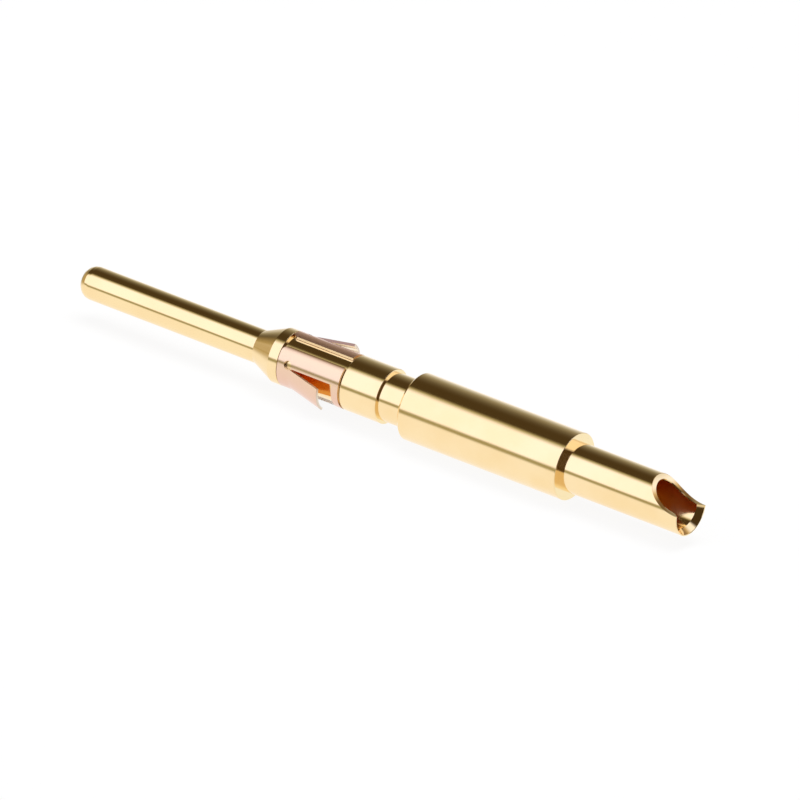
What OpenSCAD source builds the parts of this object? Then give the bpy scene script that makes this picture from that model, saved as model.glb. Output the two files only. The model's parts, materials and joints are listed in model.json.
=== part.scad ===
// Circular connector solder contact: a turned, gold-plated pin with a solder cup,
// and a rolled copper-alloy clip that locks it into a connector's insert.
// The axis lies along X, with the pin towards -X and the solder cup towards +X.
// The cup opens upwards, and the origin is on the axis at the barrel's front face.

/* [Mating pin] */
// Diameter of the mating pin
pin_d = 1.6; // [1.2:0.05:2.0]
// Length of the mating pin, from its tip to the cone
pin_length = 9.85; // [6:0.05:14]
// Corner radius of the pin's nose
nose_r = 0.6; // [0.1:0.02:0.7]
// Length of the cone between the pin and the front land
cone_length = 1.19; // [0.5:0.01:2.5]

/* [Clip seat] */
// Diameter of the front land and of the collar, at either end of the clip seat
land_d = 2.65; // [2.5:0.05:3.0]
// Length of the front land
land_length = 0.5; // [0.3:0.05:1.5]
// Diameter of the clip seat
seat_d = 2.35; // [1.8:0.05:2.4]
// Length of the clip seat, between the front land and the collar
seat_length = 3.52; // [2.8:0.02:5]
// Length of the collar
collar_length = 2.0; // [1:0.1:4]

/* [Barrel] */
// Diameter of the narrow groove in front of the barrel
groove_d = 2.35; // [1.8:0.05:2.45]
// Length of the narrow groove
groove_length = 1.35; // [0.6:0.05:3]
// Diameter of the barrel
barrel_d = 3.25; // [3.1:0.05:4.0]
// Length of the barrel
barrel_length = 8.85; // [6:0.05:14]
// Lead chamfer on the barrel's front edge
lead_chamfer = 0.12; // [0.04:0.02:0.24]
// Edge break on the other turned edges
edge_break = 0.03; // [0.01:0.01:0.06]

/* [Solder cup] */
// Outer diameter of the solder cup
cup_d = 2.4; // [2.2:0.05:2.8]
// Length of the solder cup, behind the barrel
cup_length = 6.5; // [5:0.1:9]
// Diameter of the cup's bore
bore_d = 1.84; // [1.5:0.02:2.0]
// Depth of the bore's straight wall, from the cup's end
bore_depth = 6.0; // [4:0.1:8]
// Included angle of the drill point at the bottom of the bore
drill_angle = 118; // [90:1:140]
// Depth of the countersink in the cup's mouth
mouth_depth = 0.3; // [0.1:0.05:0.6]
// Thickness of the rim that the countersink leaves
mouth_rim = 0.05; // [0.02:0.01:0.08]
// Radius of the round cutter that scoops the cup open
scoop_r = 2.2; // [1.6:0.05:4]
// Height of the scoop's lowest point above the axis, at the cup's end
scoop_floor = 0; // [-0.3:0.01:0.4]

/* [Retention clip] */
// Thickness of the clip's sheet
sheet_t = 0.1; // [0.06:0.01:0.15]
// Radial clearance between the clip and its seat
clip_clearance = 0.045; // [0.02:0.005:0.2]
// Gap between the clip's front edge and the front land
clip_front_gap = 0.07; // [0.02:0.01:0.2]
// Gap between the clip's rear edge and the collar
clip_rear_gap = 0.11; // [0.02:0.01:0.2]
// Angle of the open slit along the clip
slit_angle = 29; // [10:1:45]
// Radius of the clip's front corners, on both sides of the slit
slit_corner_r = 0.3; // [0.05:0.01:0.4]
// Turn of the slit about the axis, from straight up towards -Y
clip_turn = 30; // [-180:1:180]
// Width of each lanced window, straight across
window_w = 1.45; // [1.0:0.01:1.8]
// Length of the closed ring in front of the windows
front_ring = 0.51; // [0.3:0.01:0.8]
// Length of the closed ring behind the windows
rear_ring = 0.36; // [0.2:0.01:0.6]
// Gap between a tine's end and the rear ring, in the flat sheet
tine_end_gap = 0.41; // [0.1:0.01:0.7]
// Gap on each side of a tine
tine_side_gap = 0.03; // [0.01:0.01:0.08]
// Outward bend of the tine on the slit's -Y side, in degrees
front_tine_bend = 13.5; // [5:0.5:18]
// Outward bend of the tine on the slit's +Y side, in degrees
back_tine_bend = 10; // [5:0.5:18]
// Radius of the relief holes at the roots of the tines
relief_r = 0.2; // [0.08:0.01:0.24]
// Distance of a relief hole's centre outside its window's edge
relief_shift = 0.12; // [0:0.01:0.14]

/* [Hidden] */
$fn = 96;

// How far a cutting tool reaches past what it cuts
overshoot = 1;

// Radii of the turned steps
pin_r = pin_d / 2;
land_r = land_d / 2;
seat_r = seat_d / 2;
groove_r = groove_d / 2;
barrel_r = barrel_d / 2;
cup_r = cup_d / 2;
bore_r = bore_d / 2;
mouth_r = cup_r - mouth_rim;

// Places of the turned steps along the axis, outwards from the barrel's front face
groove_x = -groove_length;
collar_x = groove_x - collar_length;
seat_x = collar_x - seat_length;
land_x = seat_x - land_length;
cone_x = land_x - cone_length;
tip_x = cone_x - pin_length;
cup_x = barrel_length;
end_x = cup_x + cup_length;
bore_x = end_x - bore_depth;
drill_point = bore_r / tan(drill_angle / 2);

// The clip, measured from its front edge
clip_x = seat_x + clip_front_gap;
clip_length = seat_length - clip_front_gap - clip_rear_gap;
clip_inner_r = seat_r + clip_clearance;
clip_outer_r = clip_inner_r + sheet_t;
window_length = clip_length - front_ring - rear_ring;
tine_length = window_length - tine_end_gap;
tine_w = window_w - 2 * tine_side_gap;
relief_angle = asin((window_w / 2 + relief_shift) / clip_outer_r);
corner_angle = slit_angle / 2 + asin(slit_corner_r / clip_outer_r);

// Turns the drawing axis Z into X, drawing X into Y and drawing Y into Z
module along_x() {
    rotate([90, 0, 90])
        children();
}

// Half section of the turned body behind the pin's nose, as radius and place along the axis
module turned_section() {
    polygon([
        [0, tip_x + nose_r],
        [pin_r, tip_x + nose_r],
        [pin_r, cone_x],
        [land_r, land_x],
        [land_r, seat_x - edge_break],
        [land_r - edge_break, seat_x],
        [seat_r, seat_x],
        [seat_r, collar_x],
        [land_r - edge_break, collar_x],
        [land_r, collar_x + edge_break],
        [land_r, groove_x - edge_break],
        [land_r - edge_break, groove_x],
        [groove_r, groove_x],
        [groove_r, 0],
        [barrel_r - lead_chamfer, 0],
        [barrel_r, lead_chamfer],
        [barrel_r, cup_x - edge_break],
        [barrel_r - edge_break, cup_x],
        [cup_r, cup_x],
        [cup_r, end_x],
        [mouth_r, end_x],
        [bore_r, end_x - mouth_depth],
        [bore_r, bore_x],
        [0, bore_x - drill_point],
    ]);
}

// Half section of the pin's nose: a flat end with a round corner
module nose_section() {
    translate([0, tip_x])
        square([pin_r - nose_r, nose_r]);
    intersection() {
        translate([pin_r - nose_r, tip_x + nose_r])
            circle(r = nose_r);
        translate([pin_r - nose_r, tip_x])
            square([nose_r, nose_r]);
    }
}

// Round cutter lying across the cup, with its lowest point at the cup's end
module scoop_cutter() {
    translate([end_x, 0, scoop_floor + scoop_r])
        rotate([90, 0, 0])
            cylinder(r = scoop_r, h = cup_d + 2 * overshoot, center = true);
}

module contact_body() {
    color("goldenrod")
        difference() {
            along_x()
                rotate_extrude() {
                    turned_section();
                    nose_section();
                }
            scoop_cutter();
        }
}

// Rolled sheet with its slit centred on drawing Y
module sleeve() {
    rotate([0, 0, 90 + slit_angle / 2])
        rotate_extrude(angle = 360 - slit_angle)
            translate([clip_inner_r, 0])
                square([sheet_t, clip_length]);
}

// Tools that round the sleeve's front corners, beside the slit on drawing Y
module corner_cutters() {
    for (side = [-1, 1])
        rotate([0, 0, 90 + side * corner_angle])
            translate([0, 0, slit_corner_r])
                rotate([0, 90, 0])
                    difference() {
                        translate([0, -(side + 1) * slit_corner_r, 0])
                            cube([2 * slit_corner_r, 2 * slit_corner_r, clip_outer_r + overshoot]);
                        cylinder(r = slit_corner_r, h = clip_outer_r + overshoot);
                    }
}

// Lanced window, centred on drawing X
module window_cutter() {
    translate([0, -window_w / 2, front_ring])
        cube([clip_outer_r + overshoot, window_w, window_length]);
}

// Relief holes at the two root corners of a tine, centred on drawing X
module relief_cutters() {
    for (side = [-1, 1])
        rotate([0, 0, side * relief_angle])
            translate([0, 0, front_ring])
                rotate([0, 90, 0])
                    cylinder(r = relief_r, h = clip_outer_r + overshoot);
}

// Half section of a tine that leaves the front ring at the bend angle
module tine_section(bend) {
    tip_r = clip_outer_r + tine_length * sin(bend);
    tip_z = front_ring + tine_length * cos(bend);
    polygon([
        [clip_inner_r, front_ring],
        [clip_outer_r, front_ring],
        [tip_r, tip_z],
        [tip_r - sheet_t * cos(bend), tip_z + sheet_t * sin(bend)],
        [clip_inner_r, front_ring + sheet_t * tan(bend / 2)],
    ]);
}

// Tine of constant width, centred on drawing X
module tine(bend) {
    intersection() {
        rotate_extrude()
            tine_section(bend);
        translate([0, -tine_w / 2, 0])
            cube([clip_outer_r + tine_length, tine_w, clip_length]);
    }
}

module retention_clip() {
    color("rosybrown")
        translate([clip_x, 0, 0])
            along_x()
                rotate([0, 0, clip_turn])
                    difference() {
                        union() {
                            difference() {
                                sleeve();
                                corner_cutters();
                                for (turn = [0, 180])
                                    rotate([0, 0, turn])
                                        window_cutter();
                            }
                            tine(back_tine_bend);
                            rotate([0, 0, 180])
                                tine(front_tine_bend);
                        }
                        for (turn = [0, 180])
                            rotate([0, 0, turn])
                                relief_cutters();
                    }
}

contact_body();
retention_clip();
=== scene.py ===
"""Dresses a circular connector solder contact: a turned, gold-plated pin and its rolled spring clip.

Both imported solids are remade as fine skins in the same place. The turned body is one grid that runs from
the pin's nose over every step and the scooped lip down to the bottom of the bore. The clip is a punched
flat blank that is rolled up, with its two tines bent outwards. Sizes are in millimetres until a mesh is
made, and those of the stage are in metres.
"""

import json
import logging
import math
from dataclasses import dataclass
from enum import Enum

import bpy
import numpy as np
from mathutils import Matrix, Vector


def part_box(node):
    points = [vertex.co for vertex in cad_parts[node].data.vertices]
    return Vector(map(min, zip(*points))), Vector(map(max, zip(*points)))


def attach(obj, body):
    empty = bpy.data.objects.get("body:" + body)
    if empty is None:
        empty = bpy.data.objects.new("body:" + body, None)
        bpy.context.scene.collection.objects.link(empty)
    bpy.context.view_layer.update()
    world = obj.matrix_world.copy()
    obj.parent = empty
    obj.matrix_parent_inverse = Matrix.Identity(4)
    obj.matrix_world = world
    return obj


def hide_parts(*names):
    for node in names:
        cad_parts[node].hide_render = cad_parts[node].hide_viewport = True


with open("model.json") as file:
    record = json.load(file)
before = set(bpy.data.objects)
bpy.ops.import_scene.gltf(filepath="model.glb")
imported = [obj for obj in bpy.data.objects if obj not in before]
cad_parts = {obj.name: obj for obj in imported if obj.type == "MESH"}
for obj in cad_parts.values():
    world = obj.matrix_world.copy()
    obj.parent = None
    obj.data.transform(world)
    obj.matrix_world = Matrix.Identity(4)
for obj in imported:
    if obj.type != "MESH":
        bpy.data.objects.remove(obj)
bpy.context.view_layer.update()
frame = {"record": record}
MM = 0.001
LOG = logging.getLogger("contact")

CAMERA_RAY = "Is Camera Ray"
NOISE_MIDDLE = 0.5

Colour = tuple[float, float, float]
# Place along an outline, radius there, and radius of the rounded corner
Corner = tuple[float, float, float]
# Where a crossing is still 0, and where it has reached 1
Span = tuple[float, float]


class Edge(Enum):
    """How a value crosses over from 0 to 1."""

    STRAIGHT = "LINEAR"
    SOFT = "SMOOTHSTEP"


class Field:
    """One output socket of a node, so that shader maths can be written as Python expressions."""

    def __init__(self, graph: "Graph", socket: bpy.types.NodeSocket) -> None:
        """Keeps the graph that new Math nodes go into, and the socket itself."""
        self.graph = graph
        self.socket = socket

    def math(self, operation: str, *others: "Field | float") -> "Field":
        """Runs a Math node's operation on this value and the others that it needs."""
        return self.graph.math(operation, self, *others)

    def __add__(self, other: "Field | float") -> "Field":
        """Sum of two values."""
        return self.math("ADD", other)

    __radd__ = __add__

    def __sub__(self, other: "Field | float") -> "Field":
        """Difference of two values."""
        return self.math("SUBTRACT", other)

    def __rsub__(self, other: float) -> "Field":
        """A number less this value."""
        return self.graph.math("SUBTRACT", other, self)

    def __mul__(self, other: "Field | float") -> "Field":
        """Product of two values."""
        return self.math("MULTIPLY", other)

    __rmul__ = __mul__

    def __pow__(self, power: float) -> "Field":
        """This value raised to a power."""
        return self.math("POWER", power)


class Graph:
    """A node tree that is filled by short calls.

    The Mix node's sockets for a share and two colours, and for the colour it makes, are given by number.
    """

    COLOUR_MIX_INPUTS = (0, 6, 7)
    COLOUR_MIX_RESULT = 2

    def __init__(self, tree: bpy.types.NodeTree) -> None:
        """Empties the tree."""
        self.tree = tree
        tree.nodes.clear()

    def node(self, kind: str, settings: dict | None = None, inputs: dict | None = None) -> bpy.types.Node:
        """Adds one node.

        Args:
            kind: the node's type name.
            settings: its own properties, which are set first.
            inputs: values or Fields for its sockets, by socket name or number.

        Returns:
            The new node.
        """
        made = self.tree.nodes.new(kind)
        for name, value in (settings or {}).items():
            setattr(made, name, value)
        for name, value in (inputs or {}).items():
            socket = made.inputs[name]
            if isinstance(value, Field):
                self.tree.links.new(value.socket, socket)
            else:
                socket.default_value = value
        return made

    def field(self, kind: str, output: str | int, settings: dict | None = None,
              inputs: dict | None = None) -> Field:
        """Adds one node and returns the named output as a Field."""
        return Field(self, self.node(kind, settings, inputs).outputs[output])

    def math(self, operation: str, *values: Field | float) -> Field:
        """Adds a Math node that runs the operation on the values."""
        return self.field("ShaderNodeMath", 0, {"operation": operation}, dict(enumerate(values)))

    def split(self, vector: Field) -> tuple[Field, Field, Field]:
        """Splits a vector into its three parts."""
        parts = self.node("ShaderNodeSeparateXYZ", inputs={0: vector})
        return tuple(Field(self, socket) for socket in parts.outputs)

    def join(self, x: Field | float, y: Field | float, z: Field | float) -> Field:
        """Joins three values into a vector."""
        return self.field("ShaderNodeCombineXYZ", 0, inputs={0: x, 1: y, 2: z})

    def cross(self, value: Field, start: float, end: float, edge: Edge = Edge.SOFT) -> Field:
        """Carries a value to 0 up to start, to 1 from end, and across in between."""
        limits = {"Value": value, "From Min": start, "From Max": end}
        return self.field("ShaderNodeMapRange", 0, {"interpolation_type": edge.value}, limits)

    def blend(self, share: Field, low: Field | Colour, high: Field | Colour) -> Field:
        """Mixes two colours.

        Args:
            share: how much of the second colour there is, from 0 to 1.
            low: the first colour.
            high: the second colour.

        Returns:
            The mixed colour.
        """
        ends = [colour if isinstance(colour, Field) else (*colour, 1.0) for colour in (low, high)]
        inputs = dict(zip(self.COLOUR_MIX_INPUTS, (share, *ends)))
        return self.field("ShaderNodeMix", self.COLOUR_MIX_RESULT, {"data_type": "RGBA"}, inputs)

    def noise(self, vector: Field, scale: float, detail: float = 2.0) -> Field:
        """Smooth noise from 0 to 1 at a place."""
        inputs = {"Vector": vector, "Scale": scale, "Detail": detail}
        return self.field("ShaderNodeTexNoise", 0, inputs=inputs)

    def bump(self, height: Field, depth: float, normal: Field | None = None) -> Field:
        """Tilts the normal by a height map.

        Args:
            height: relief from 0 to 1.
            depth: what a height of 1 stands for, in millimetres.
            normal: relief that this one lies on.

        Returns:
            The tilted normal.
        """
        inputs = {"Height": height, "Distance": depth * MM}
        if normal:
            inputs["Normal"] = normal
        return self.field("ShaderNodeBump", 0, inputs=inputs)


@dataclass(frozen=True)
class GoldPlate:
    """Bright gold plating over turned metal, with fine tool rings, and a rougher bore whose deeper, redder
    gold is painted shade.
    """

    colour: Colour = (1.0, 0.79, 0.46)
    deep_colour: Colour = (0.98, 0.745, 0.40)
    pin_colour: Colour = (1.0, 0.79, 0.44)
    pin_ends: Span = (-10.0, -8.0)
    # Painted shade: the deeper, redder gold that stands for the shade inside the bore.
    bore_shade_colour: Colour = (1.0, 0.735, 0.34)
    roughness: float = 0.10
    roughness_spread: float = 0.05
    ring_roughness: float = 0.04
    bore_roughness: float = 0.26
    bore_starts: Span = (0.3, 1.6)
    bore_edges: Span = (0.02, 0.005)
    cloud_per_mm: float = 0.5
    cloud_detail: float = 3.0
    cloud_limits: Span = (0.3, 0.75)
    ring_per_mm: float = 9.0
    ring_detail: float = 4.0
    ring_depth: float = 0.00035
    streak_per_mm: float = 5.0
    streak_stretch: float = 0.12
    streak_depth: float = 0.001

    def material(self, body: "TurnedBody") -> bpy.types.Material:
        """Makes the plating.

        The rings are noise along the axis and the radius alone, as a turning tool leaves them, and the
        streaks are noise drawn out along the axis, from sliding. Clouds of deeper gold lie over the whole
        body, and the pin is a little yellower than the rest.

        Args:
            body: the turned body, which says where the bore is.

        Returns:
            The material.
        """
        material = bpy.data.materials.new("gold_plate")
        material.use_nodes = True
        graph = Graph(material.node_tree)
        place = graph.field("ShaderNodeTexCoord", "Object")
        x, y, z = (part * (1 / MM) for part in graph.split(place))
        radius = graph.math("SQRT", y * y + z * z)
        # Painted shade: deeper into the bore the gold is painted a deeper, redder colour for the recess's
        # shade; only its higher roughness is a real finish.
        in_bore = graph.cross(radius - body.bore_r, *self.bore_edges)
        in_bore = in_bore * graph.cross(body.end_x - x, *self.bore_starts)
        in_bore = in_bore * graph.cross(x, body.cup_x - body.edge_break, body.cup_x)
        clouds = graph.noise(graph.join(x, y, z), self.cloud_per_mm, self.cloud_detail)
        rings = graph.noise(graph.join(x + radius, 0.0, 0.0), self.ring_per_mm, self.ring_detail)
        streaks = graph.noise(graph.join(x * self.streak_stretch, y, z), self.streak_per_mm)
        main_colour = graph.blend(graph.cross(x, *self.pin_ends), self.pin_colour, self.colour)
        plated = graph.blend(graph.cross(clouds, *self.cloud_limits), main_colour, self.deep_colour)
        roughness = self.roughness + self.roughness_spread * (clouds - NOISE_MIDDLE)
        roughness = roughness + self.ring_roughness * (rings - NOISE_MIDDLE)
        relief = graph.bump(streaks, self.streak_depth, graph.bump(rings, self.ring_depth))
        shader = graph.node("ShaderNodeBsdfPrincipled", inputs={
            "Base Color": graph.blend(in_bore, plated, self.bore_shade_colour),
            "Metallic": 1.0,
            "Specular IOR Level": 0.0,
            "Roughness": roughness + (self.bore_roughness - self.roughness) * in_bore,
            "Normal": relief,
        })
        graph.node("ShaderNodeOutputMaterial", inputs={"Surface": Field(graph, shader.outputs[0])})
        return material


@dataclass(frozen=True)
class CopperAlloy:
    """Bare rolled copper alloy strip: pinkish, with fine rolling lines along it.

    Its zones are places across the flat blank, from the middle of the back tine. From the slit's near edge
    the sheet turns, over a run, from yellower to pinker, a painted reflection tint; right at that edge it is
    painted darker as shade, and beside the slit's far edge it is satin, with a brighter, pinker painted
    reflection. The face that lies inside is painted a colour of its own as light: shade on the sleeve and
    reflection on the tines. A matt share paints part of the cut edge pale, as a painted highlight.
    """

    name: str = "copper_alloy"
    colour: Colour = (0.90, 0.70, 0.46)
    dull_colour: Colour = (0.87, 0.66, 0.44)
    # Painted reflection tint: the sheet is yellower at the slit's near edge and pinker away from it, as the
    # light falls.
    reflection_tint_colour: Colour = (0.86, 0.575, 0.45)
    # Painted light on the inside face: darker shade on the sleeve, paler reflection where a finish sets it
    # so.
    inner_painted_light_colour: Colour = (0.78, 0.47, 0.22)
    reflection_tint_runs: Span = (-5.64, -3.65)
    # Painted shade: a darker, redder band right at the slit's near edge.
    slit_shade_colour: Colour = (0.66, 0.42, 0.29)
    slit_shade_runs: Span = (-5.34, -5.60)
    # Painted reflection: beside the slit's far edge the satin strip is coloured brighter and pinker; its
    # higher roughness is real.
    satin_sheen_colour: Colour = (1.0, 0.66, 0.50)
    satin_and_sheen_runs: Span = (0.95, 1.25)
    satin_roughness: float = 0.45
    # Painted highlight: the matt share turns part of the cut edge matt and near white.
    matt: float = 0.0
    matt_highlight_colour: Colour = (1.0, 0.98, 0.95)
    matt_highlight_starts: Span = (-3.2, -3.05)
    matt_highlight_stops: Span = (-0.8, -0.95)
    roughness: float = 0.15
    roughness_spread: float = 0.05
    noise_detail: float = 3.0
    cloud_per_mm: float = 1.1
    cloud_limits: Span = (0.35, 0.8)
    cloud_share: float = 0.7
    line_share: float = 0.3
    line_per_mm: float = 14.0
    line_stretch: float = 0.06
    line_depth: float = 0.0005

    def material(self) -> bpy.types.Material:
        """Makes the alloy, with its zones of painted light and shade and its rolling lines carried by the
        blank's own flat coordinates.

        Returns:
            The material.
        """
        material = bpy.data.materials.new(self.name)
        material.use_nodes = True
        graph = Graph(material.node_tree)
        flat = graph.field("ShaderNodeAttribute", "Vector", {"attribute_name": RetentionClip.FLAT})
        across, along, inside = graph.split(flat)
        clouds = graph.noise(graph.join(across, along, 0.0), self.cloud_per_mm, self.noise_detail)
        drawn_out = graph.join(across * self.line_stretch, along, 0.0)
        lines = graph.noise(drawn_out, self.line_per_mm, self.noise_detail)
        dullness = graph.cross(clouds, *self.cloud_limits) * self.cloud_share + self.line_share * lines
        # Painted reflection tint across the sheet, from yellower at the slit's near edge to pinker away from
        # it.
        reflection_tint = graph.cross(across, *self.reflection_tint_runs, Edge.STRAIGHT)
        satin = graph.cross(across, *self.satin_and_sheen_runs)
        # Painted highlight: the matt, near white share of the cut edge.
        matt = self.matt * (graph.cross(across, *self.matt_highlight_starts) * graph.cross(across, *self.matt_highlight_stops))
        outer = graph.blend(reflection_tint, graph.blend(dullness, self.colour, self.dull_colour), self.reflection_tint_colour)
        # Painted shade: the darker, redder band at the slit's near edge.
        outer = graph.blend(graph.cross(across, *self.slit_shade_runs), outer, self.slit_shade_colour)
        # Painted reflection colour on the satin strip beside the slit's far edge.
        outer = graph.blend(satin, outer, self.satin_sheen_colour)
        # The inside face gets its painted light and shade colour.
        bare = graph.blend(inside, outer, self.inner_painted_light_colour)
        roughness = self.roughness + self.roughness_spread * (lines - NOISE_MIDDLE)
        shader = graph.node("ShaderNodeBsdfPrincipled", inputs={
            "Base Color": graph.blend(matt, bare, self.matt_highlight_colour),
            "Metallic": 1.0 - matt,
            "Roughness": roughness + (self.satin_roughness - self.roughness) * satin,
            "Normal": graph.bump(lines, self.line_depth),
        })
        graph.node("ShaderNodeOutputMaterial", inputs={"Surface": Field(graph, shader.outputs[0])})
        return material


class ClipFace(Enum):
    """Faces of the clip that have a finish of their own, by material slot."""

    SHEET = 0
    CUT_EDGE = 1
    TINE_BACK = 2
    TINE_EDGE = 3


@dataclass(frozen=True)
class PaleFloor:
    """White table top that shows white to the camera and still takes the object's soft shadow."""

    colour: Colour = (0.92, 0.92, 0.92)
    own_white: float = 0.9

    def material(self) -> bpy.types.Material:
        """Makes the table top: matt white, most of which is plain white to the camera.

        Returns:
            The material.
        """
        material = bpy.data.materials.new("pale_floor")
        material.use_nodes = True
        graph = Graph(material.node_tree)
        seen = graph.field("ShaderNodeLightPath", CAMERA_RAY)
        matt = graph.field("ShaderNodeBsdfDiffuse", 0, inputs={"Color": (*self.colour, 1.0)})
        white = graph.field("ShaderNodeEmission", 0, inputs={"Color": (1.0, 1.0, 1.0, 1.0), "Strength": 1.0})
        shown = graph.field("ShaderNodeMixShader", 0, inputs={0: seen * self.own_white, 1: matt, 2: white})
        graph.node("ShaderNodeOutputMaterial", inputs={"Surface": shown})
        return material


def rounded_outline(corners: np.ndarray, radii: np.ndarray, steps: int) -> np.ndarray:
    """Rounds the inner corners of an open outline with true arcs.

    The arc at a corner starts radius * tan(turn / 2) before it. At angle a it has moved by
    radius * (sin a along the first side, 1 - cos a towards the turn).

    Args:
        corners: points of the outline, one row each.
        radii: corner radius of every point but the first and the last.
        steps: points on each arc.

    Returns:
        The rounded outline, one point per row.
    """
    sides = np.diff(corners, axis=0)
    sides /= np.linalg.norm(sides, axis=1, keepdims=True)
    before, after = sides[:-1], sides[1:]
    left = np.column_stack([-before[:, 1], before[:, 0]])
    turn = np.arctan2((left * after).sum(axis=1), (before * after).sum(axis=1))
    start = corners[1:-1] - before * (radii * np.tan(np.abs(turn) / 2))[:, None]
    angle = np.abs(turn)[:, None, None] * np.linspace(0, 1, steps)[None, :, None]
    bent = (np.sign(turn)[:, None] * left)[:, None, :]
    arcs = np.sin(angle) * before[:, None, :] + (1 - np.cos(angle)) * bent
    arcs = start[:, None, :] + radii[:, None, None] * arcs
    return np.concatenate([corners[:1], arcs.reshape(-1, 2), corners[-1:]])


def with_support_rows(outline: np.ndarray, longest: float, support: float) -> np.ndarray:
    """Adds points to the straight stretches of an outline, so that their shading stays straight.

    Args:
        outline: points of the outline, one row each.
        longest: the longest stretch that may stay without a point.
        support: distance of the first and the last added point from the ends of a stretch, which gets
            them only if it is longer than three times this.

    Returns:
        The outline with the added points, in order.
    """
    lengths = np.linalg.norm(np.diff(outline, axis=0), axis=1)
    along = np.concatenate([[0.0], np.cumsum(lengths)])
    wide = lengths > 3 * support
    near_ends = np.concatenate([along[:-1][wide] + support, along[1:][wide] - support])
    even = np.arange(0.0, along[-1], longest)
    kept = np.sort(np.concatenate([along, near_ends]))
    spot = np.clip(np.searchsorted(kept, even), 1, len(kept) - 1)
    clear = np.minimum(np.abs(even - kept[spot - 1]), np.abs(kept[spot] - even)) > support
    stations = np.unique(np.concatenate([kept, even[clear]]))
    return np.column_stack([np.interp(stations, along, outline[:, k]) for k in (0, 1)])


def grid_quads(rows: int, columns: int, closed: bool) -> np.ndarray:
    """Corner numbers of a grid's quads, where vertex (i, j) has the number i * columns + j.

    Args:
        rows: rows of vertices.
        columns: vertices in a row.
        closed: whether the last column joins the first.

    Returns:
        Four corner numbers per quad, one quad per row.
    """
    number = np.arange(rows * columns).reshape(rows, columns)
    beside = np.roll(number, -1, axis=1)
    quads = np.stack([number[:-1], beside[:-1], beside[1:], number[1:]], axis=-1)
    return (quads if closed else quads[:, :-1]).reshape(-1, 4)


def welded(points: np.ndarray, quads: np.ndarray, grain: float = 1e-6) -> tuple[np.ndarray, np.ndarray]:
    """Joins the points that lie on the same spot.

    Args:
        points: one point per row.
        quads: corner numbers, one face per row.
        grain: spots that round to the same multiple of this are the same.

    Returns:
        For each kept point its old number, and the faces with new corner numbers.
    """
    _, first, number = np.unique(np.round(points / grain), axis=0, return_index=True, return_inverse=True)
    return first, number.reshape(-1)[quads]


def mesh_piece(name: str, points: np.ndarray, quads: np.ndarray, sharp_angle: float) -> bpy.types.Object:
    """Puts a skin into a new object at the origin, smooth but for its sharp edges.

    A quad that a pole or a tapering strip has closed to a triangle loses its doubled corner.

    Args:
        name: the piece's name.
        points: its vertices in millimetres.
        quads: four corner numbers per face.
        sharp_angle: edges that turn by more than this, in degrees, stay sharp.

    Returns:
        The linked object.
    """
    same = quads == np.roll(quads, -1, axis=1)
    whole = quads[same.sum(axis=1) == 0]
    pinched = quads[same.sum(axis=1) == 1]
    triangles = pinched[~same[same.sum(axis=1) == 1]].reshape(-1, 3)
    mesh = bpy.data.meshes.new(name)
    mesh.from_pydata((points * MM).tolist(), [], whole.tolist() + triangles.tolist())
    mesh.polygons.foreach_set("use_smooth", np.ones(len(mesh.polygons), dtype=bool))
    mesh.set_sharp_from_angle(angle=math.radians(sharp_angle))
    made = bpy.data.objects.new(name, mesh)
    bpy.context.scene.collection.objects.link(made)
    return made


def mount_radius(name: str) -> float:
    """Radius of one of the record's round mounts, in millimetres."""
    return next(m for m in frame["record"]["mounts"] if m["name"] == name)["dims"]["r_mm"]


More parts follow.
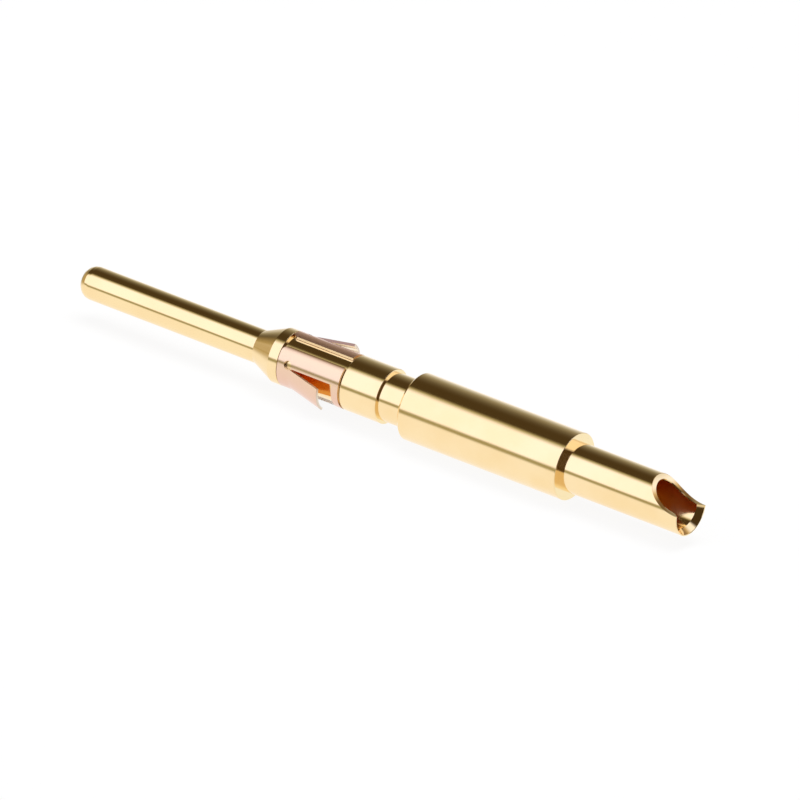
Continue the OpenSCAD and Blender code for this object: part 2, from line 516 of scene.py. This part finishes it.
@dataclass
class TurnedBody:
    """The turned and plated contact, from the nose of its pin to the lip of its solder cup."""

    tip_x: float
    end_x: float
    pin_r: float
    barrel_r: float
    bore_r: float
    nose_r: float = 0.6
    cone_x: float = -8.56
    land_x: float = -7.37
    land_r: float = 1.325
    seat_x: float = -6.87
    seat_r: float = 1.175
    collar_x: float = -3.35
    groove_x: float = -1.35
    groove_r: float = 1.175
    lead_chamfer: float = 0.12
    cup_x: float = 8.85
    cup_r: float = 1.2
    bore_depth: float = 6.0
    drill_half_angle: float = 59.0
    mouth_depth: float = 0.3
    mouth_rim: float = 0.05
    scoop_r: float = 2.2
    scoop_floor: float = 0.0
    edge_break: float = 0.03
    lip_break: float = 0.012
    inner_break: float = 0.04
    upper_columns: int = 84
    lower_columns: int = 60
    crowding: float = 1.6
    arc_steps: int = 6
    longest_row: float = 0.7
    support: float = 0.03
    even_wall: float = 0.9
    even_wall_rows: int = 12
    last_wall_rows: tuple[float, ...] = (0.96, 0.985, 1.0)
    lip_rows: int = 6
    mouth_rows: int = 6
    mouth_tail: float = 0.3
    bore_rows: int = 14
    cone_rows: tuple[float, ...] = (0.02, 0.2, 0.45, 0.7, 0.9, 1.0)
    halvings: int = 40
    sharp_angle: float = 21.0

    @classmethod
    def from_frame(cls) -> "TurnedBody":
        """Takes the ends and the mounts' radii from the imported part."""
        low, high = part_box("contact_body")
        radii = (mount_radius(name) for name in ("mating_pin", "barrel", "solder_cup"))
        return cls(low.x / MM, high.x / MM, *radii)

    def angles(self) -> np.ndarray:
        """Angles of the grid's columns, from the cup's opening upwards towards the near side.

        From the top down to the corner where the scoop runs out, at arccos(floor / bore radius), the angle
        is corner * (1 - (1 - t) ** crowding), which crowds the columns where the lip turns. Below it they
        are even.

        Returns:
            One full turn of angles.
        """
        corner = math.acos(self.scoop_floor / self.bore_r)
        upper = corner * (1 - (1 - np.linspace(0, 1, self.upper_columns + 1)) ** self.crowding)
        lower = np.linspace(corner, math.pi, self.lower_columns + 1)[1:]
        half = np.concatenate([upper, lower])
        return np.concatenate([half, 2 * math.pi - half[-2:0:-1]])

    def outline(self) -> np.ndarray:
        """Rounds the turned outline and gives it its rows.

        Returns:
            Place along the axis and radius, from the nose to the start of the cup's wall.
        """
        corners: list[Corner] = [
            (self.tip_x, 0.0, 0.0),
            (self.tip_x, self.pin_r, self.nose_r),
            (self.cone_x, self.pin_r, 0.0),
            (self.land_x, self.land_r, self.edge_break),
            (self.seat_x, self.land_r, self.edge_break),
            (self.seat_x, self.seat_r, 0.0),
            (self.collar_x, self.seat_r, 0.0),
            (self.collar_x, self.land_r, self.edge_break),
            (self.groove_x, self.land_r, self.edge_break),
            (self.groove_x, self.groove_r, 0.0),
            (0.0, self.groove_r, 0.0),
            (0.0, self.barrel_r - self.lead_chamfer, self.edge_break),
            (self.lead_chamfer, self.barrel_r, self.edge_break),
            (self.cup_x, self.barrel_r, self.edge_break),
            (self.cup_x, self.cup_r, 0.0),
            (self.cup_x + self.edge_break, self.cup_r, 0.0),
        ]
        table = np.array(corners)
        rounded = rounded_outline(table[:, :2], table[1:-1, 2], self.arc_steps)
        return with_support_rows(rounded, self.longest_row, self.support)

    def scoop_reach(self, height: np.ndarray) -> np.ndarray:
        """How far the scoop reaches in from the cup's end at a height above the axis.

        The cutter is a cylinder across the cup whose lowest point is at the end, so at d above that
        point it reaches sqrt(d * (2 * scoop radius - d)).
        """
        depth = np.maximum(height - self.scoop_floor, 0.0)
        return np.sqrt(depth * (2 * self.scoop_r - depth))

    def inner_radius(self, x: np.ndarray) -> np.ndarray:
        """Radius of the bore and of its countersunk mouth at a place along the axis."""
        slope = (self.cup_r - self.mouth_rim - self.bore_r) / self.mouth_depth
        return self.bore_r + slope * np.maximum(x - (self.end_x - self.mouth_depth), 0.0)

    def inner_edge(self, angle: np.ndarray) -> np.ndarray:
        """Finds where the scoop meets the bore's wall, by halving the interval.

        Args:
            angle: angles round the axis, from the top.

        Returns:
            The place along the axis at each angle.
        """
        low = np.full_like(angle, self.cup_x)
        high = np.full_like(angle, self.end_x)
        for _ in range(self.halvings):
            middle = (low + high) / 2
            reach = self.scoop_reach(self.inner_radius(middle) * np.cos(angle))
            inside = middle < self.end_x - reach
            low = np.where(inside, middle, low)
            high = np.where(inside, high, middle)
        return (low + high) / 2

    def rows(self) -> tuple[np.ndarray, np.ndarray, np.ndarray]:
        """Works out the whole skin as a grid of rows along the outline and columns around the axis.

        The outer wall and the bore run up to the scoop at each angle, and the lip between them follows the
        scoop's cylinder. Its two edges are broken by a narrow chamfer.

        Returns:
            Place along the axis, radius, and the angle of each column.
        """
        angle = self.angles()
        outline = self.outline()
        one = np.ones_like(angle)
        body = [(x * one, r * one) for x, r in outline]
        wall_end = self.end_x - self.scoop_reach(self.cup_r * np.cos(angle)) - self.lip_break
        wall_start = outline[-1, 0]
        shares = [*np.linspace(0, self.even_wall, self.even_wall_rows)[1:], *self.last_wall_rows]
        wall = [(wall_start + share * (wall_end - wall_start), self.cup_r * one) for share in shares]
        inner_x = self.inner_edge(angle)
        inner_r = self.inner_radius(inner_x)
        sink_x = self.end_x - self.mouth_depth
        past = np.maximum(sink_x - inner_x, 0.0)
        inner_break = self.lip_break + self.inner_break * np.minimum(past / self.mouth_depth, 1.0)
        outer_lip, inner_lip = self.cup_r - self.lip_break, inner_r + inner_break
        lip = []
        for share in np.linspace(0, 1, self.lip_rows):
            radius = outer_lip + share * (inner_lip - outer_lip)
            lip.append((self.end_x - self.scoop_reach(radius * np.cos(angle)), radius))
        mouth_start = inner_x - inner_break
        mouth_end = np.minimum(sink_x, mouth_start - inner_break) - self.mouth_tail * past
        bore_end = self.end_x - self.bore_depth
        mouth_shares, bore_shares = np.linspace(0, 1, self.mouth_rows), np.linspace(0, 1, self.bore_rows)
        mouth = [mouth_start + share * (mouth_end - mouth_start) for share in mouth_shares]
        bore = [mouth_end + share * (bore_end - mouth_end) for share in bore_shares[1:]]
        inside = [(x, self.inner_radius(x)) for x in mouth + bore]
        point = self.bore_r / math.tan(math.radians(self.drill_half_angle))
        cone = [((bore_end - share * point) * one, (1 - share) * self.bore_r * one)
                for share in self.cone_rows]
        grid = body + wall + lip + inside + cone
        return np.array([x for x, _ in grid]), np.array([r for _, r in grid]), angle

    def build(self, finish: GoldPlate) -> bpy.types.Object:
        """Makes the skin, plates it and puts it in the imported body's place.

        A grid point lies at (x, -r sin a, r cos a), with a from the top towards the near side.

        Args:
            finish: the plating.

        Returns:
            The piece.
        """
        x, radius, angle = self.rows()
        grid = np.stack([x, -radius * np.sin(angle), radius * np.cos(angle)], axis=-1)
        points = grid.reshape(-1, 3)
        kept, quads = welded(points, grid_quads(*x.shape, closed=True))
        piece = mesh_piece("turned_contact", points[kept], quads, self.sharp_angle)
        piece.data.materials.append(finish.material(self))
        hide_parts("contact_body")
        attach(piece, "contact")
        return piece


@dataclass
class RetentionClip:
    """The rolled clip: a slit sleeve with two lanced tines, bent outwards, and holes at their roots.

    FLAT names the attribute that carries the flat blank's coordinates, and FRONT_REACH is how far the front
    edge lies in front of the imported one.
    """

    FLAT = "flat_blank"
    FRONT_REACH = 0.045

    front_x: float
    length: float
    inner_r: float = 1.195
    sheet: float = 0.125
    slit_angle: float = 29.0
    slit_corner_r: float = 0.3
    turn: float = 30.0
    window_w: float = 1.45
    front_ring: float = 0.555
    rear_ring: float = 0.36
    tine_end_gap: float = 0.41
    tine_side_gap: float = 0.03
    far_side_gap: float = 0.34
    strip_bulge: float = 0.015
    edge_roll: float = 0.006
    edge_roll_run: float = 0.2
    front_bend: float = 14.5
    back_bend: float = 12.0
    bend_run: float = 0.12
    relief_r: float = 0.2
    relief_shift: float = 0.12
    root_columns: int = 15
    tine_columns: int = 7
    kerf_columns: int = 5
    hole_columns: int = 11
    strip_columns: int = 12
    slit_columns: int = 6
    corner_columns: int = 10
    front_rows: int = 8
    window_rows: int = 30
    rear_rows: int = 6
    sharp_angle: float = 38.0

    @classmethod
    def from_frame(cls) -> "RetentionClip":
        """Takes the clip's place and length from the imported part."""
        low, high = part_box("retention_clip")
        return cls(low.x / MM - cls.FRONT_REACH, (high.x - low.x) / MM + cls.FRONT_REACH)

    @property
    def middle_r(self) -> float:
        """Radius of the sheet's middle."""
        return self.inner_r + self.sheet / 2

    @property
    def slit_edge(self) -> float:
        """Length along the sheet's middle from the middle of a tine to the slit."""
        return self.middle_r * math.radians(90 - self.slit_angle / 2)

    @property
    def back_seam(self) -> float:
        """Length along the sheet's middle from the middle of a tine to where the two halves meet."""
        return self.middle_r * math.radians(90)

    @property
    def tine_edge(self) -> float:
        """Length along the sheet's middle from the middle of a tine to its side."""
        return self.arc(self.window_w / 2 - self.tine_side_gap)

    @property
    def window_end(self) -> float:
        """Length along the clip to the rear edge of its windows."""
        return self.length - self.rear_ring

    def arc(self, offset: float) -> float:
        """Length along the sheet's middle to where a straight offset meets the outer face."""
        return self.middle_r * math.asin(offset / (self.inner_r + self.sheet))

    def round_hole(self, hole: float, start: float, end: float, count: int) -> np.ndarray:
        """Places across the blank from start to end, even in angle on a hole: hole - r * cos(angle)."""
        limits = np.arccos(np.clip((hole - np.array([start, end])) / self.relief_r, -1, 1))
        return hole - self.relief_r * np.cos(np.linspace(*limits, count))

    def patches(self) -> list[tuple[np.ndarray, np.ndarray, bool]]:
        """Cuts half of the flat blank into strips between two edge curves.

        Across the blank lies s, the length round the sleeve from the tine's middle, and along it lies t,
        from the front edge. A strip's points are t = low(s) + share * (high(s) - low(s)), and beside a
        relief hole low or high is the hole's edge, front_ring -/+ sqrt(r^2 - (s - hole)^2). Beside the slit
        the front edge is the arc r - sqrt(r^2 - (s - corner)^2). Away from the slit the kerf is wider.

        Returns:
            For each strip its s and t as grids, and whether it belongs to the tine.
        """
        tine, window_end = self.tine_edge, self.window_end
        tine_end = window_end - self.tine_end_gap
        corner = self.slit_edge - self.slit_corner_r
        quarter_turn = np.linspace(0, math.pi / 2, self.corner_columns)
        round_corner = corner + self.slit_corner_r * np.sin(quarter_turn)
        found = []
        for side, gap in ((1, self.tine_side_gap), (-1, self.far_side_gap)):
            window = tine + gap
            hole = window + self.relief_shift if side > 0 else tine + gap / 2
            hole_start, hole_end = hole - self.relief_r, hole + self.relief_r
            root = np.linspace(0, hole_start, self.root_columns)
            beside_tine = self.round_hole(hole, hole_start, tine, self.tine_columns)
            kerf = self.round_hole(hole, tine, window, self.kerf_columns)
            beside_strip = self.round_hole(hole, window, hole_end, self.hole_columns)
            strip = np.linspace(hole_end, self.back_seam, self.strip_columns)
            if side > 0:
                to_corner = np.linspace(hole_end, corner, self.slit_columns)
                strip = np.concatenate([to_corner[:-1], round_corner])
            for s in (root, beside_tine, kerf, beside_strip, strip):
                notch = np.sqrt(np.maximum(self.relief_r ** 2 - (s - hole) ** 2, 0.0))
                low, high = self.front_ring - notch, self.front_ring + notch
                past = np.maximum(s - corner, 0.0) if side > 0 else np.zeros_like(s)
                front = self.slit_corner_r - np.sqrt(np.maximum(self.slit_corner_r ** 2 - past ** 2, 0.0))
                spans = [(front, low, self.front_rows, False),
                         (window_end + 0 * s, self.length + 0 * s, self.rear_rows, False)]
                if s is root or s is beside_tine:
                    spans.append((high, tine_end + 0 * s, self.window_rows, True))
                elif s is not kerf:
                    spans.append((high, window_end + 0 * s, self.window_rows, False))
                for bottom, top, rows, is_tine in spans:
                    share = np.linspace(0, 1, rows)[:, None]
                    t = bottom + share * (top - bottom)
                    found.append((side * s + 0 * t, t, is_tine))
        return found

    def rolled(self, s: np.ndarray, t: np.ndarray, bend: float) -> tuple[np.ndarray, np.ndarray]:
        """Rolls part of the blank into the sleeve and bends it outwards behind the front ring.

        Behind the ring the sheet turns by an angle a that grows evenly over the bend's run, so it rises by
        R * (1 - cos a) and goes on straight after it. A tine keeps its round section, which the rise moves
        out along the middle of the tine: (place, rise + r cos b, r sin b) at the angle b = s / r. Between
        window and slit the sheet bulges by strip_bulge * (1 - x^2), with x from -1 to 1, and its last
        stretch before the slit is rolled in by edge_roll * y^2, with y from 0 to 1.

        Args:
            s: lengths round the sleeve.
            t: lengths along it.
            bend: outward bend in degrees, or 0 for the sleeve itself.

        Returns:
            Points as place along the axis, outwards and sideways, and the outward normals in the same order.
        """
        around = s / self.middle_r
        window = self.arc(self.window_w / 2)
        middle, half = (self.slit_edge + window) / 2, (self.slit_edge - window) / 2
        radius = self.middle_r + self.strip_bulge * np.maximum(1 - ((s - middle) / half) ** 2, 0.0)
        near_slit = np.maximum(s - self.slit_edge + self.edge_roll_run, 0.0) / self.edge_roll_run
        radius = radius - self.edge_roll * near_slit ** 2
        slope, rise, place = np.zeros_like(t), np.zeros_like(t), t
        if bend:
            full = math.radians(bend)
            past = np.maximum(t - self.front_ring, 0.0)
            straight = np.maximum(past - self.bend_run, 0.0)
            slope = full * np.clip(past / self.bend_run, 0, 1)
            bow = self.bend_run / full
            rise = bow * (1 - np.cos(slope)) + straight * math.sin(full)
            place = np.minimum(t, self.front_ring) + bow * np.sin(slope) + straight * math.cos(full)
        out, side = np.cos(around), np.sin(around)
        points = np.stack([place, rise + radius * out, radius * side], axis=-1)
        return points, np.stack([-out * np.sin(slope), out * np.cos(slope), side], axis=-1)

    def middle_sheet(self) -> tuple[np.ndarray, np.ndarray, np.ndarray, np.ndarray]:
        """Joins both halves of the blank, rolled and turned into place.

        Returns:
            The points of the sheet's middle, its outward normals, the places on the blank, and the quads.
        """
        points, normals, flats, quads, count = [], [], [], [], 0
        for mirrored, bend in ((False, self.back_bend), (True, self.front_bend)):
            turn = math.radians(self.turn + 180 if mirrored else self.turn)
            hand = -1 if mirrored else 1
            axes = np.array([[1, 0, 0], [0, math.cos(turn), math.sin(turn)],
                             [0, -hand * math.sin(turn), hand * math.cos(turn)]])
            for s, t, is_tine in self.patches():
                place, outward = self.rolled(s, t, bend if is_tine else 0.0)
                points.append(place @ axes + np.array([self.front_x, 0, 0]))
                normals.append(outward @ axes)
                across = -2 * self.back_seam - s if mirrored else s
                flats.append(np.stack([across, t, 0 * t], axis=-1))
                flip = mirrored != (s[0, -1] < s[0, 0])
                faces = grid_quads(*s.shape, closed=False) + count
                quads.append(faces[:, ::-1] if flip else faces)
                count += s.size
        joined = [np.concatenate([part.reshape(-1, 3) for part in parts])
                  for parts in (points, normals, flats)]
        kept, faces = welded(joined[0], np.concatenate(quads))
        return joined[0][kept], joined[1][kept], joined[2][kept], faces

    def build(self, finishes: dict[ClipFace, CopperAlloy]) -> bpy.types.Object:
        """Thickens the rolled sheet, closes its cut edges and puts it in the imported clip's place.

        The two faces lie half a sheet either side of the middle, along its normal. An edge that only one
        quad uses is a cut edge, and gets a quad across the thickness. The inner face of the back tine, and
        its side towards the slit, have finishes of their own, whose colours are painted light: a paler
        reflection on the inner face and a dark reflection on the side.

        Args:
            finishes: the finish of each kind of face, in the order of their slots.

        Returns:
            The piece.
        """
        middle, normal, flat, faces = self.middle_sheet()
        sides = np.stack([faces, np.roll(faces, -1, axis=1)], axis=-1).reshape(-1, 2)
        _, spot, uses = np.unique(np.sort(sides, axis=1), axis=0, return_index=True, return_counts=True)
        cut = sides[spot[uses == 1]]
        count = len(middle)
        outer, inner = middle + normal * self.sheet / 2, middle - normal * self.sheet / 2
        rim = np.column_stack([cut[:, 1], cut[:, 0], cut[:, 0] + count, cut[:, 1] + count])
        quads = np.concatenate([faces, faces[:, ::-1] + count, rim])
        piece = mesh_piece("spring_clip", np.concatenate([outer, inner]), quads, self.sharp_angle)
        attribute = piece.data.attributes.new(self.FLAT, "FLOAT_VECTOR", "POINT")
        attribute.data.foreach_set("vector", np.concatenate([flat, flat + (0, 0, 1)]).ravel())
        for finish in finishes.values():
            piece.data.materials.append(finish.material())
        across, along = flat[:, 0], flat[:, 1]
        half_gap = self.tine_side_gap / 2
        on_tine = np.abs(across) < self.tine_edge + half_gap
        on_tine &= along > self.front_ring + self.bend_run
        on_tine &= along < self.window_end - self.tine_end_gap / 2
        on_side = on_tine[cut].all(axis=1) & (across[cut].min(axis=1) > self.tine_edge - half_gap)
        slots = np.concatenate([
            np.full(len(faces), ClipFace.SHEET.value),
            np.where(on_tine[faces].all(axis=1), ClipFace.TINE_BACK.value, ClipFace.SHEET.value),
            np.where(on_side, ClipFace.TINE_EDGE.value, ClipFace.CUT_EDGE.value),
        ])
        piece.data.polygons.foreach_set("material_index", slots.astype(np.int32))
        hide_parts("retention_clip")
        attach(piece, "clip")
        return piece


@dataclass(frozen=True)
class StudioLight:
    """Light round the object, in strips that run along its axis, as a mirror of gold shows them.

    A strip's place is the angle above the horizon in front of the object, seen along the axis. Towards the
    pin lie the pale table, its dark front edge, a bright soft box with a yellow fringe, the dark ceiling and
    the pale wall behind, which is yellower at its top and warm towards the cup. Beside the cup the room in
    front is dark, and a second soft box hangs above and behind, with a wall below it. The room's end, beyond
    the pin, is warm and dim, and so is the far end of the table behind.
    """

    table: Colour = (1.0, 0.985, 0.99)
    table_edge: Colour = (0.38, 0.35, 0.20)
    soft_box: Colour = (1.2, 1.21, 1.41)
    box_fringe: Colour = (1.2, 1.14, 0.68)
    ceiling: Colour = (0.07, 0.046, 0.018)
    wall_top: Colour = (0.88, 0.85, 0.66)
    back_wall: Colour = (0.95, 0.97, 0.98)
    table_edge_starts: Span = (-20.0, -11.0)
    soft_box_starts: Span = (-7.0, 2.0)
    box_fringe_starts: Span = (63.0, 77.0)
    soft_box_stops: Span = (58.0, 83.0)
    back_wall_rises: Span = (102.0, 184.0)
    back_wall_power: float = 2.2
    wall_top_stops: Span = (142.0, 172.0)
    warm_wall: Colour = (0.62, 0.40, 0.22)
    warm_wall_starts: Span = (-0.35, -0.05)
    cup_table: Colour = (0.78, 0.72, 0.62)
    cup_table_back: Colour = (0.97, 1.03, 1.08)
    cup_room: Colour = (0.06, 0.038, 0.014)
    cup_box: Colour = (1.1, 1.15, 1.38)
    cup_box_warm: Colour = (1.0, 0.78, 0.48)
    cup_box_cools: Span = (0.28, 0.46)
    cup_wall: Colour = (0.85, 0.86, 0.93)
    cup_room_starts: Span = (-23.0, -13.0)
    cup_box_starts: Span = (80.0, 98.0)
    cup_box_stops: Span = (0.70, 0.56)
    cup_wall_starts: Span = (152.0, 168.0)
    cup_side: Span = (0.1, 0.5)
    cup_table_turns: Span = (-0.2, 0.4)
    room_end: Colour = (0.50, 0.40, 0.21)
    room_end_starts: Span = (-0.86, -0.99)
    room_end_rises: Span = (-0.45, -0.12)
    far_table: Colour = (0.42, 0.38, 0.28)
    far_table_starts: Span = (-0.50, -0.85)
    far_table_turns: Span = (0.0, 0.4)
    far_table_rises: Span = (-0.45, -0.20)
    far_table_stops: Span = (0.20, 0.0)

    def light_world(self) -> None:
        """Makes the world: the strips for every ray but the camera's, which sees plain white."""
        world = bpy.data.worlds.new("studio")
        world.use_nodes = True
        bpy.context.scene.world = world
        graph = Graph(world.node_tree)
        x, y, z = graph.split(graph.field("ShaderNodeTexCoord", "Generated"))
        angle = graph.math("ARCTAN2", z, 0.0 - y) * math.degrees(1)
        pin_side = self.table
        for starts, colour in (
            (self.table_edge_starts, self.table_edge),
            (self.soft_box_starts, self.soft_box),
            (self.box_fringe_starts, self.box_fringe),
            (self.soft_box_stops, self.ceiling),
        ):
            pin_side = graph.blend(graph.cross(angle, *starts), pin_side, colour)
        rise = graph.cross(angle, *self.back_wall_rises, Edge.STRAIGHT) ** self.back_wall_power
        wall = graph.blend(graph.cross(angle, *self.wall_top_stops), self.wall_top, self.back_wall)
        wall = graph.blend(graph.cross(x, *self.warm_wall_starts), wall, self.warm_wall)
        pin_side = graph.blend(rise, pin_side, wall)
        table = graph.blend(graph.cross(y, *self.cup_table_turns), self.cup_table, self.cup_table_back)
        cup_side = graph.blend(graph.cross(angle, *self.cup_room_starts), table, self.cup_room)
        in_box = graph.cross(angle, *self.cup_box_starts) * graph.cross(x, *self.cup_box_stops)
        box = graph.blend(graph.cross(x, *self.cup_box_cools), self.cup_box_warm, self.cup_box)
        cup_side = graph.blend(in_box, cup_side, box)
        cup_side = graph.blend(graph.cross(angle, *self.cup_wall_starts), cup_side, self.cup_wall)
        light = graph.blend(graph.cross(x, *self.cup_side), pin_side, cup_side)
        at_end = graph.cross(x, *self.room_end_starts) * graph.cross(z, *self.room_end_rises)
        light = graph.blend(at_end, light, self.room_end)
        far = graph.cross(x, *self.far_table_starts) * graph.cross(y, *self.far_table_turns)
        far = far * graph.cross(z, *self.far_table_rises) * graph.cross(z, *self.far_table_stops)
        light = graph.blend(far, light, self.far_table)
        seen = graph.field("ShaderNodeLightPath", CAMERA_RAY)
        shown = graph.blend(seen, light, (1.0, 1.0, 1.0))
        background = graph.field("ShaderNodeBackground", 0, inputs={"Color": shown, "Strength": 1.0})
        graph.node("ShaderNodeOutputWorld", inputs={"Surface": background})


@dataclass(frozen=True)
class Stage:
    """The pale table top under the object and the wide lamp above it, in metres."""

    half_size: float = 0.6
    lamp_height: float = 0.3
    lamp_size: float = 0.25
    lamp_watts: float = 0.75

    def build(self, finish: PaleFloor, floor_z: float) -> None:
        """Lays the table top at a height and hangs the lamp over it.

        Mirror rays pass the table top and meet the world's own pale table, so the lamp and the shadow
        stay out of the metal.

        Args:
            finish: the table top's finish.
            floor_z: its height in metres.
        """
        corner = np.array([[-1, -1], [1, -1], [1, 1], [-1, 1]]) * self.half_size
        mesh = bpy.data.meshes.new("table_top")
        mesh.from_pydata(np.column_stack([corner, np.full(4, floor_z)]).tolist(), [], [(0, 1, 2, 3)])
        mesh.materials.append(finish.material())
        floor = bpy.data.objects.new("table_top", mesh)
        floor.visible_glossy = False
        bpy.context.scene.collection.objects.link(floor)
        lamp = bpy.data.lights.new("wide_lamp", "AREA")
        lamp.shape = "DISK"
        lamp.size = self.lamp_size
        lamp.energy = self.lamp_watts
        hung = bpy.data.objects.new("wide_lamp", lamp)
        hung.location = (0.0, 0.0, floor_z + self.lamp_height)
        hung.visible_camera = False
        hung.visible_glossy = False
        bpy.context.scene.collection.objects.link(hung)


@dataclass(frozen=True)
class PhotoCamera:
    """Sees the contact without perspective, as the photograph's long lens does.

    Its angles are in radians and its distance is in metres.
    """

    towards_cup: float = math.asin(0.48)
    lift: float = math.radians(24.5)
    fall: float = math.radians(20.95)
    pixels_per_mm: float = 21.9
    origin_pixel: tuple[float, float] = (415.7, 405.9)
    picture_size: int = 800
    distance: float = 0.3

    def build(self) -> None:
        """Places the camera.

        The view leaves the object at the angle towards_cup from square to the axis, and lift above the
        level. The picture's right and up are the axis and its upright, turned by the fall of the axis in
        the picture.
        """
        sideways = Vector((0.0, -math.cos(self.lift), math.sin(self.lift)))
        upright = Vector((0.0, math.sin(self.lift), math.cos(self.lift)))
        axis = Vector((1.0, 0.0, 0.0))
        view = math.sin(self.towards_cup) * axis + math.cos(self.towards_cup) * sideways
        along = math.cos(self.towards_cup) * axis - math.sin(self.towards_cup) * sideways
        right = math.cos(self.fall) * along + math.sin(self.fall) * upright
        up = math.cos(self.fall) * upright - math.sin(self.fall) * along
        middle = self.picture_size / 2
        px, py = self.origin_pixel
        target = (right * (middle - px) + up * (py - middle)) * (MM / self.pixels_per_mm)
        data = bpy.data.cameras.new("photo_camera")
        data.type = "ORTHO"
        data.ortho_scale = self.picture_size / self.pixels_per_mm * MM
        camera = bpy.data.objects.new("photo_camera", data)
        turn = Matrix((right, up, view)).transposed().to_4x4()
        camera.matrix_world = Matrix.Translation(target + view * self.distance) @ turn
        bpy.context.scene.collection.objects.link(camera)
        bpy.context.scene.camera = camera


def set_view() -> None:
    """Keeps colours as they are written, and lets light bounce deep into the bore."""
    scene = bpy.context.scene
    scene.view_settings.view_transform = "Standard"
    scene.cycles.max_bounces = 32
    scene.cycles.glossy_bounces = 28


def clip_finishes() -> dict[ClipFace, CopperAlloy]:
    """Chooses the finishes of the clip's faces.

    Returns:
        The finishes in the order of their slots: the sheet, its duller cut edges, part of them painted a
            pale
        matt highlight, the inner face of the back tine, painted paler as a reflection, and that tine's side,
        painted a dark brownish copper as a dark reflection.
    """
    # Painted dark reflection: the back tine's side is coloured a dark brownish copper for the dark ceiling
    # it mirrors.
    dark_reflection_brown = (0.36, 0.23, 0.18)
    return {
        # The sheet's default finish carries painted light: its reflection tint, the slit's shade band, the
        # satin strip's reflection and the inside face's shade.
        ClipFace.SHEET: CopperAlloy(),
        # Painted highlight: the cut edge is coloured pale beside the slit's far edge and matt near white
        # away from the slit, and its inside colour is painted light too.
        ClipFace.CUT_EDGE: CopperAlloy(
            "copper_cut_edge", colour=(0.76, 0.58, 0.44), dull_colour=(0.70, 0.52, 0.39),
            reflection_tint_colour=(1.0, 0.96, 0.82), inner_painted_light_colour=(0.86, 0.74, 0.60), reflection_tint_runs=(0.9, 1.5),
            slit_shade_colour=(0.76, 0.58, 0.44), satin_sheen_colour=(1.0, 0.96, 0.82), roughness=0.32,
            satin_roughness=0.32, matt=1.0),
        # Painted reflection: the tines' inner face is coloured paler.
        ClipFace.TINE_BACK: CopperAlloy("copper_tine_back", inner_painted_light_colour=(1.0, 0.86, 0.66)),
        ClipFace.TINE_EDGE: CopperAlloy(
            "copper_tine_edge", colour=dark_reflection_brown, dull_colour=dark_reflection_brown, reflection_tint_colour=dark_reflection_brown, inner_painted_light_colour=dark_reflection_brown,
            roughness=0.32),
    }


def main() -> None:
    """Builds the pieces, the stage, the light and the camera, and reports each piece.

    The table touches the circle that the turning clip sweeps.
    """
    logging.basicConfig(level=logging.INFO, format="%(message)s", force=True)
    body, clip = TurnedBody.from_frame(), RetentionClip.from_frame()
    pieces = [body.build(GoldPlate()), clip.build(clip_finishes())]
    for piece in pieces:
        LOG.info("%s: %d vertices, %d faces", piece.name, len(piece.data.vertices), len(piece.data.polygons))
    swept = max(math.hypot(vertex.co.y, vertex.co.z) for piece in pieces for vertex in piece.data.vertices)
    Stage().build(PaleFloor(), -swept)
    StudioLight().light_world()
    PhotoCamera().build()
    set_view()


if __name__ == "__main__":
    main()
